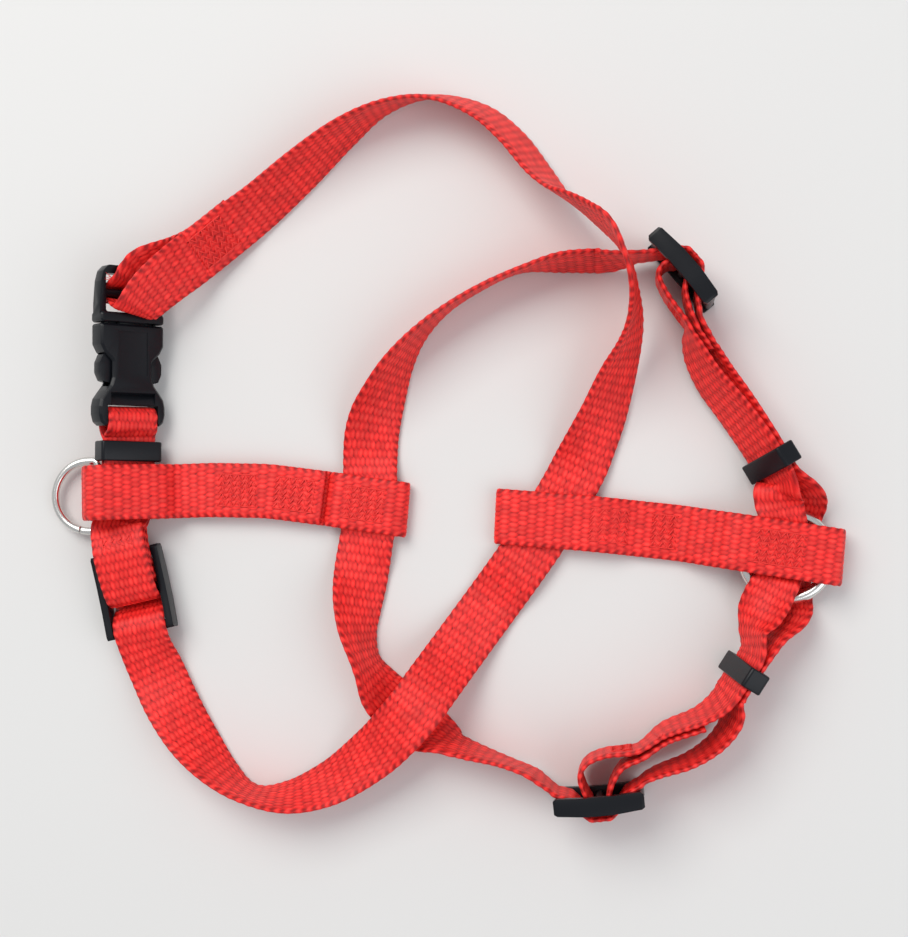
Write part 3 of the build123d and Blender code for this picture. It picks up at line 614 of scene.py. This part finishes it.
BAND_U = [
    (71.3, 37.8, 10.1, 80), (72.6, 33.4, 9.6, 71), (76.6, 25.6, 8.9, 64), (82.4, 17.2, 9.2, 60),
    (89.3, 6.4, 10.3, 58), (94.6, -2.65, 10.3, 58), (95.7, -4.5, 10.3, 58),
]
RETURN_U = [2.1, 2.0, 1.9, 1.4, 0.9, 0.9, 1.3]
THROUGH_U = [-2.1, -2.0, -1.9, -1.4, -0.9, -0.9, -1.6]
BAND_L = [
    (62.6, -76.0, 9.6, -83), (72.2, -72.0, 9.4, -79), (77.4, -68.2, 9.8, -73),
    (80.4, -64.6, 10.4, -69), (81.1, -63.5, 10.4, -69), (87.5, -53.3, 10.4, -69),
]
RUN_L = [(60.8, -86.8, 10.2, -87), (69.6, -83.4, 9.9, -83), (77.4, -77.6, 9.8, -78), (81.4, -70.8, 10.0, -72)]
RING_U_DOWN = [((100.5, -6.9, 7.4), (0.66, 0.2, 0.72), 15.0), ((101.5, -9.8, 4.6), (0.92, 0.0, 0.3), 14.0),
               ((101.0, -12.6, 2.75), (1, -0.1, 0), 13.5), ((99.6, -15.9, 2.6), (1, -0.1, 0), 13.0)]
RING_U_UP = [((97.6, -18.9, 3.8), (1, -0.1, 0), 13.0), ((96.6, -18.8, 5.6), (1, -0.1, 0), 13.0),
             ((96.3, -17.5, 7.4), (1, -0.1, 0), 13.0), ((95.6, -14.6, 8.6), (1, -0.1, 0), 13.0),
             ((94.8, -10.9, 8.85), (1, -0.1, 0.03), 13.5), ((94.4, -8.2, 9.9), (0.88, 0.0, 0.32), 14.5)]
RING_L_DOWN = [((92.6, -48.0, 8.8), (-0.45, 0.1, -0.89), 15.0),
               ((96.6, -43.2, 6.2), (-0.75, 0.2, -0.6), 14.0),
               ((97.8, -38.8, 2.75), (-1, 0.1, 0), 13.5), ((97.4, -33.6, 2.6), (-1, 0.05, 0), 13.0)]
RING_L_UP = [((96.2, -30.6, 3.4), (-1, 0.1, 0), 13.0), ((94.8, -30.2, 5.2), (-1, 0.1, 0), 13.0),
             ((94.4, -31.2, 7.2), (-1, 0.1, 0), 13.0), ((93.6, -33.0, 8.4), (-1, 0.1, 0), 13.0),
             ((92.0, -36.0, 8.75), (-1, 0.15, 0), 13.5), ((89.2, -41.2, 9.8), (-0.86, 0.15, -0.45), 14.0),
             ((87.2, -46.4, 10.2), (-0.45, 0.08, -0.89), 15.0)]


def neck_strap():
    upper_in = lying([(42.4, 60.3, 8.2, 76), *U_ENTRY[::-1]])
    keys = across(SLIDE_U, (U_IN + UNDER_BAR[:4])[::-1], 1)
    keys += upper_in[::-1][:-1]
    keys += lying(NECK_BACK)
    keys += lying([(3.8, -81.7, 8.1, -78), *L_ENTRY])[1:]
    keys += across(SLIDE_L, L_IN + UNDER_BAR[:4], 1)
    upper, back, lower = split(keys, [(42.0, 60.3, 8.2), (3.4, -81.55, 8.1)])
    piece = strap_piece("neck_strap_into_upper_slide", upper, 3, WEBBING)
    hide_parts("neck_upper_entry")
    blend(piece)
    piece = strap_piece("neck_strap_back", back, 3, WEBBING)
    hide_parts("neck_upper_run", "neck_lower_run")
    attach(piece, "webbing")
    piece = strap_piece("neck_strap_into_lower_slide", lower, 3, WEBBING)
    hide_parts("neck_lower_entry")
    blend(piece)


def neck_bands():
    keys = across(SLIDE_U, UNDER_BAR[3:] + U_OUT, -1)
    keys += lying(BAND_U, THROUGH_U) + loose(RING_U_DOWN + RING_U_UP)
    keys += lying(BAND_U, RETURN_U)[::-1] + across(SLIDE_U, U_LONG + ROUND_BAR[::-1] + U_STUB, -1)
    keys += lying(BAND_U, [0.0] * 7)[:2]
    piece = strap_piece("neck_strap_upper_ring_loop", split(keys)[0], 4, WEBBING)
    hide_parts("neck_upper_weave", "neck_upper_wrap", "neck_upper_through_leg",
                "neck_upper_return_leg", "neck_upper_sewn_end")
    blend(piece)
    keys = across(SLIDE_L, UNDER_BAR[3:] + L_OUT, 1)
    keys += lying(RUN_L) + lying(BAND_L[2:], [-2.6, -1.4, -0.9, -0.9])[1:] + loose(RING_L_DOWN + RING_L_UP)
    keys += lying(BAND_L, [1.0, 1.0, 0.9, 0.9, 0.9, 0.9])[::-1]
    keys += across(SLIDE_L, L_LONG + ROUND_BAR[::-1] + L_STUB, 1)
    keys += lying(BAND_L, [-0.9] * 6)[:2]
    piece = strap_piece("neck_strap_lower_ring_loop", split(keys)[0], 5, WEBBING)
    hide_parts("neck_lower_weave", "neck_lower_wrap", "neck_lower_through_leg",
                "neck_lower_return_leg", "neck_lower_sewn_end")
    blend(piece)


# ------------------------------------------------------------------ connector straps

BACK_LINE = [(-113.0, -8.0), (-72.0, -6.6), (-55.0, -7.0), (-36.0, -9.4), (-13.0, -12.6)]
BACK_PATH = [
    (-38.9, 4.35), (-83.0, 4.35), (-86.6, 8.2), (-90.0, 10.8), (-103.2, 17.0), (-106.6, 16.8),
    (-109.8, 12.6), (-111.2, 4.8), (-111.1, 2.4), (-110.0, 1.0), (-108.6, 0.85),
    (-86.0, 0.85), (-82.6, 2.6), (-79.9, 2.6),
    (-40.0, 2.6), (-38.0, 2.6), (-35.6, 4.8), (-16.6, 4.8), (-14.6, 4.0), (-14.0, 2.8),
    (-14.6, 1.6), (-16.6, 0.85), (-74.0, 0.85),
]
CHEST_LINE = [(12.0, -14.1), (42.0, -16.4), (66.0, -18.9), (90.0, -22.4), (113.0, -25.8)]
CHEST_PATH = [
    (56.0, 0.85), (15.2, 0.85), (13.7, 1.5), (13.3, 2.8), (13.7, 4.1), (15.2, 4.75),
    (46.0, 4.75), (53.0, 2.7), (56.7, 2.6),
    (67.0, 2.6), (76.0, 7.0), (81.2, 9.9), (84.0, 10.4), (108.4, 10.4), (111.4, 9.0), (112.3, 5.6),
    (111.4, 2.2), (108.4, 0.85), (56.9, 0.85),
]


def middle(line, x):
    xs, ys = [at[0] for at in line], [at[1] for at in line]
    return float(np.interp(x, xs, ys))


def connector_keys(line, path):
    full = [path[0]]
    for (x0, z0), (x1, z1) in zip(path, path[1:]):
        count = int(abs(x1 - x0) // 9)
        for k in range(1, count + 1):
            t = k / (count + 1)
            full.append((x0 + (x1 - x0) * t, z0 + (z1 - z0) * t))
        full.append((x1, z1))
    keys = []
    for x, z in full:
        slope = (middle(line, x + 6) - middle(line, x - 6)) / 12
        keys.append((vec(x, middle(line, x), z), unit(vec(-slope, 1, 0)), WEB_W))
    return keys


def connectors():
    piece = strap_piece("back_strap", split(connector_keys(BACK_LINE, BACK_PATH))[0], 6, WEBBING)
    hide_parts("back_strap_left_loop", "back_strap_middle", "back_strap_right_loop")
    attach(piece, "webbing")
    piece = strap_piece("chest_strap", split(connector_keys(CHEST_LINE, CHEST_PATH))[0], 7, WEBBING)
    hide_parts("chest_strap_left_loop", "chest_strap_middle", "chest_strap_right_loop")
    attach(piece, "webbing")


girth_strap()
girth_band()
neck_strap()
neck_bands()
connectors()

# ------------------------------------------------------------------ wire and thread

def tube(points, normal, radius, sides=10, closed=False):
    """Vertices and triangles of a round wire along points, in table millimetres."""
    p = np.array(points, float)
    if closed:
        t = np.roll(p, -1, axis=0) - np.roll(p, 1, axis=0)
    else:
        t = np.gradient(p, axis=0)
    t /= np.linalg.norm(t, axis=1)[:, None]
    a = np.cross(t, normal)
    a /= np.linalg.norm(a, axis=1)[:, None]
    b = np.cross(a, t)
    turn = np.arange(sides) * 2 * np.pi / sides
    size = np.broadcast_to(np.asarray(radius, float), len(p))[:, None, None]
    ring = np.cos(turn)[None, :, None] * a[:, None, :] + np.sin(turn)[None, :, None] * b[:, None, :]
    verts = p[:, None, :] + size * ring
    k = np.arange(sides)
    m = (k + 1) % sides
    base = (np.arange(len(p) if closed else len(p) - 1) * sides)[:, None]
    ahead = (base + sides) % (len(p) * sides)
    tris = [np.stack([base + k, base + m, ahead + m], -1).reshape(-1, 3)]
    tris += [np.stack([base + k, ahead + m, ahead + k], -1).reshape(-1, 3)]
    if not closed:
        fan = np.array([(0, c + 1, c) for c in range(1, sides - 1)])
        tris += [fan, fan[:, ::-1] + (len(p) - 1) * sides]
    return verts.reshape(-1, 3), np.concatenate(tris)


def wire_object(name, tubes, mat):
    """Several wires joined into one piece."""
    verts, tris, start = [], [], 0
    for v, f in tubes:
        verts.append(v)
        tris.append(f + start)
        start += len(v)
    obj = mesh_object(name, (np.concatenate(verts) - ORIGIN) / 1000, np.concatenate(tris))
    obj.data.materials.append(mat)
    return obj


def stitched(origin, along, side, length, width, salt, lines=5):
    """Zigzag stitching over a patch of strap: each stitch rises out of the webbing and dips back in."""
    along, side = unit(vec(*along)), unit(vec(*side))
    out = np.cross(along, side)
    tubes = []
    for line in range(lines):
        middle_v = (line / (lines - 1) - 0.5) * (width - 1.8)
        count = int(length / 1.15)
        points = []
        for k in range(count):
            wobble = (noise(k, line, salt) - 0.5) * 0.5
            for t in (0.0, 0.25, 0.5, 0.75):
                u = (k + t) * length / count
                swing = (1 - 2 * t if k % 2 else 2 * t - 1) * 1.0 + wobble * t
                rise = -0.20 + 0.34 * sin(np.pi * t) ** 0.7 if t else -0.20
                points.append(origin + along * u + side * (middle_v + swing) + out * rise)
        tubes.append(tube(points, out, 0.20, 6))
    for v in (-width / 2, width / 2):
        count = int(length / 2.2)
        points = []
        for k in range(count * 4 + 1):
            rise = -0.24 + 0.30 * abs(sin(np.pi * k / 4)) ** 0.7
            points.append(origin + along * (k / 4 * length / count) + side * v + out * rise)
        tubes.append(tube(points, out, 0.20, 6))
    return tubes


def connector_stitches(line, patches, salt):
    tubes = []
    for k, (x0, x1, z0, z1) in enumerate(patches):
        y0, y1 = middle(line, x0), middle(line, x1)
        along = (x1 - x0, y1 - y0, z1 - z0)
        tubes += stitched(vec(x0, y0, z0), along, (-along[1], along[0], 0), x1 - x0, 9.6, salt + k)
    return tubes


def slide_stitches(slide, ends, lift, salt, width=9.0):
    """Stitching on the outer face of the long leg beside a slide."""
    (y0, z0), (y1, z1) = ends
    start, stop = slide.point(0, y0, z0), slide.point(0, y1, z1)
    along = unit(stop - start)
    out = np.cross(slide.x, along)
    length = float(np.linalg.norm(stop - start))
    return stitched(start + out * lift, along, np.cross(out, along), length, width, salt, 4)


def stitching():
    patches = [(-70.9, -59.0, 5.18, 5.18), (-53.6, -41.0, 5.18, 5.18), (-32.4, -20.0, 5.62, 5.62)]
    piece = wire_object("back_strap_thread", connector_stitches(BACK_LINE, patches, 11), THREAD)
    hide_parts("back_strap_stitching")
    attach(piece, "webbing")
    patches = [(40.4, 46.0, 5.56, 5.56), (46.8, 52.4, 5.30, 3.72)]
    patches += [(58.4, 66.0, 3.43, 3.43), (87.4, 101.6, 11.23, 11.23)]
    piece = wire_object("chest_strap_thread", connector_stitches(CHEST_LINE, patches, 21), THREAD)
    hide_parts("chest_strap_stitching")
    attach(piece, "webbing")
    for slide, ends, lift, label in (
        (SLIDE_G, [(13.6, 6.25), (16.8, 5.35)], 0.84, "girth_slide"),
        (SLIDE_U, [(4.6, 8.66), (11.0, 9.3)], 0.84, "neck_upper"),
        (SLIDE_L, [(4.6, 13.07), (11.0, 13.34)], 0.84, "neck_lower"),
    ):
        piece = wire_object(label + "_thread", slide_stitches(slide, ends, lift, 31), THREAD)
        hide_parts(label + "_stitching")
        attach(piece, label.replace("_slide", "") + "_adjuster")
    seam = (vec(-77.0, 63.8, 8.8), vec(-66.6, 72.8, 7.1))
    along = unit(seam[1] - seam[0])
    out = unit(np.cross(unit(vec(0.50, -0.67, -0.54)), along))
    out = out if out[2] > 0 else -out
    tubes = stitched(seam[0] + out * 0.86, along, np.cross(out, along), 13.0, 10.5, 41)
    piece = wire_object("girth_strap_thread", tubes, THREAD)
    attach(piece, "girth_plug_half")


def fibres():
    """Loose ends of yarn at the cut ends of the webbing."""
    places = [
        (plug_key(-7.2, 13.2, 2.8, 0, 1)[0], vec(-0.6, 0.5, 0.5), 7, 2.2, "girth_plug_half"),
        (vec(60.6, -76.2, 17.2), vec(-0.5, 0.7, 0.4), 5, 3.2, "neck_lower_adjuster"),
    ]
    for place, (at, way, count, reach, body) in enumerate(places):
        tubes = []
        for k in range(count):
            spread = vec(noise(k, 1, place) - 0.5, noise(k, 2, place) - 0.5, noise(k, 3, place) - 0.5)
            end = unit(way + spread * 1.4) * reach * (0.5 + 0.5 * noise(k, 4, place))
            curl = vec(noise(k, 5, place) - 0.5, noise(k, 6, place) - 0.5, 0.2) * 1.2
            points = [at + spread * 0.9 + end * t + curl * t * t for t in np.linspace(0, 1, 7)]
            tubes.append(tube(points, unit(vec(0.3, 0.4, 0.85)), np.linspace(0.10, 0.04, 7), 6))
        piece = wire_object(f"yarn_ends_{place + 1}", tubes, THREAD)
        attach(piece, body)


def rings():
    turn = np.linspace(0, 2 * np.pi, 181)[:-1]
    path = [O_AT + vec(cos(a), sin(a), 0) * O_RADIUS for a in turn]
    piece = wire_object("o_ring_wire", [tube(path, UP, O_WIRE, 32, closed=True)], METAL)
    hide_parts("front_o_ring")
    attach(piece, "front_o_ring")
    h, d, r = 10.7, 13.4, 1.7
    path = [(-d + h - h * cos(a), -h * sin(a)) for a in np.linspace(1.35, np.pi / 2, 8)]
    path += [(r * sin(a) - r, r * (1 - cos(a)) - h) for a in np.linspace(0, np.pi / 2, 12)]
    path += [(0, y) for y in np.linspace(r - h, h - r, 24)[1:-1]]
    path += [(r * cos(a) - r, h - r + r * sin(a)) for a in np.linspace(0, np.pi / 2, 12)]
    path += [(-d + h - h * cos(a), -h * sin(a)) for a in np.linspace(-np.pi / 2, 1.325, 80)]
    path = [D_AT + vec(x, y, 0) for x, y in path]
    piece = wire_object("d_ring_wire", [tube(path, UP, D_WIRE, 24)], METAL)
    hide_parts("back_d_ring")
    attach(piece, "back_d_ring")


PLASTIC_NODES = ["buckle_socket", "buckle_plug", "plug_arm_left", "plug_arm_right"]
PLASTIC_NODES += [
    name + kind for name in ("girth", "neck_upper", "neck_lower") for kind in ("_slide", "_keeper")
]
O_AT, O_RADIUS = vec(96.9, -25.3, 5.5), 12.3
D_AT = vec(-108.9, -8.5, 3.3)
O_WIRE, D_WIRE = 1.7, 1.2   # radii of the ring wires


def rounded(obj):
    """Smooth faces with small rounded edges on a moulded piece, without touching its mesh."""
    group = bpy.data.node_groups.get("smooth_moulding")
    if group is None:
        group = bpy.data.node_groups.new("smooth_moulding", "GeometryNodeTree")
        group.interface.new_socket("Geometry", in_out="INPUT", socket_type="NodeSocketGeometry")
        group.interface.new_socket("Geometry", in_out="OUTPUT", socket_type="NodeSocketGeometry")
        nodes, links = group.nodes, group.links
        start, stop = nodes.new("NodeGroupInput"), nodes.new("NodeGroupOutput")
        weld = nodes.new("GeometryNodeMergeByDistance")
        weld.inputs["Distance"].default_value = 0.000002
        faces = nodes.new("GeometryNodeSetShadeSmooth")
        links.new(start.outputs[0], weld.inputs["Geometry"])
        links.new(weld.outputs["Geometry"], faces.inputs["Geometry"])
        links.new(faces.outputs["Geometry"], stop.inputs[0])
    obj.modifiers.new("smooth", "NODES").node_group = group
    bevel = obj.modifiers.new("edges", "BEVEL")
    bevel.width = 0.00042
    bevel.segments = 3
    bevel.limit_method = "ANGLE"
    bevel.angle_limit = radians(28)
    bevel.harden_normals = True


stitching()
fibres()
rings()
for node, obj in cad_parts.items():
    metal = node in ("back_d_ring", "front_o_ring")
    thread = node.endswith("stitching")
    obj.data.materials.clear()
    obj.data.materials.append(METAL if metal else THREAD if thread else PLASTIC)
    if node in PLASTIC_NODES:
        rounded(obj)


# ------------------------------------------------------------------ floor and light

def floor():
    size = 3.0
    corners = [(-size, -size, 0), (size, -size, 0), (size, size, 0), (-size, size, 0)]
    obj = mesh_object("floor", corners, [(0, 1, 2, 3)], smooth=False)
    mat, nodes, links, shader = material("pale_floor")
    shader.inputs["Base Color"].default_value = (0.72, 0.715, 0.70, 1)
    shader.inputs["Roughness"].default_value = 0.8
    obj.data.materials.append(mat)


def area_light(name, at, size, power, colour):
    data = bpy.data.lights.new(name, "AREA")
    data.shape = "RECTANGLE"
    data.size, data.size_y = size
    data.energy = power
    data.color = colour
    obj = bpy.data.objects.new(name, data)
    bpy.context.scene.collection.objects.link(obj)
    obj.location = at
    obj.rotation_euler = Vector(at).to_track_quat("Z", "Y").to_euler()
    return obj


floor()
area_light("key", (-0.5, 0.7, 1.1), (0.9, 0.9), 13, (1.0, 0.98, 0.95))
area_light("fill", (0.9, -0.4, 0.9), (1.0, 1.0), 5, (0.93, 0.96, 1.0))
world = bpy.data.worlds.new("studio")
world.use_nodes = True
world.node_tree.nodes["Background"].inputs["Color"].default_value = (0.94, 0.96, 1.0, 1)
world.node_tree.nodes["Background"].inputs["Strength"].default_value = 0.55
bpy.context.scene.world = world
bpy.context.scene.view_settings.view_transform = "Standard"
